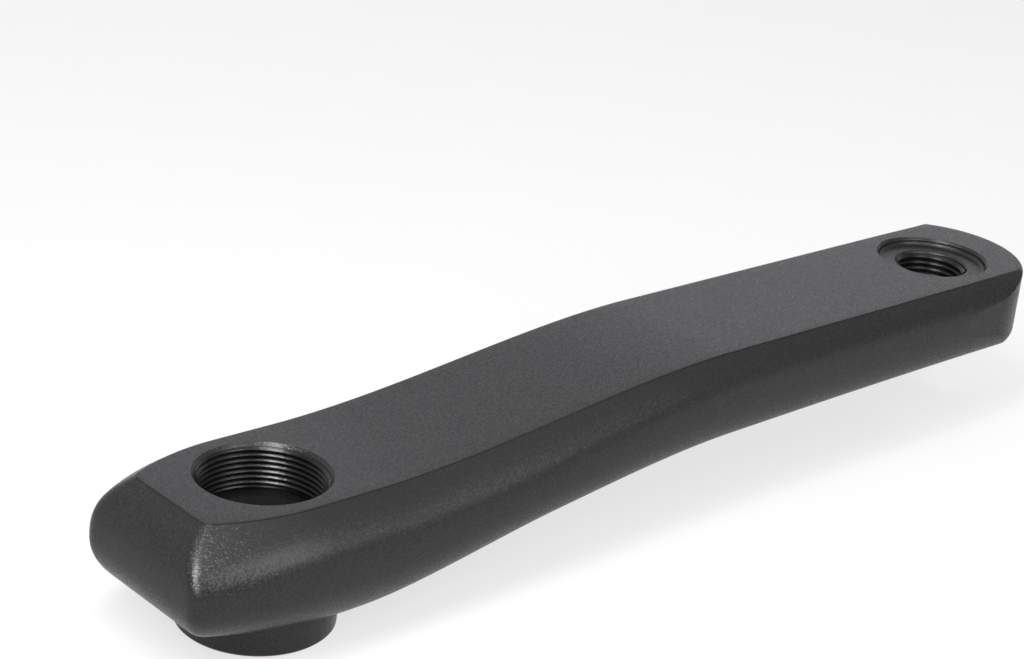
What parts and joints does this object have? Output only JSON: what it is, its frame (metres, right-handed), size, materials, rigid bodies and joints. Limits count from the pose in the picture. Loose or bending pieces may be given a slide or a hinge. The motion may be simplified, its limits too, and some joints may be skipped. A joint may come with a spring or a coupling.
{
  "type": "bicycle crank arm",
  "caption": "Forged bicycle crank arm with an offset, bulged section, a square taper spindle socket in a short boss, an extractor thread and a threaded pedal hole.",
  "frame": {"origin": "on the spindle axis, at the inner face of the boss", "axes": "+X from the spindle axis to the pedal axis, +Z along the spindle axis to the outer side of the arm"},
  "size_m": [0.2155, 0.0418, 0.0331],
  "materials": {
    "black_paint": "matte charcoal paint with fine metal flake"
  },
  "bodies": {
    "root": {"crank_arm": "black_paint"}
  },
  "joints": []
}
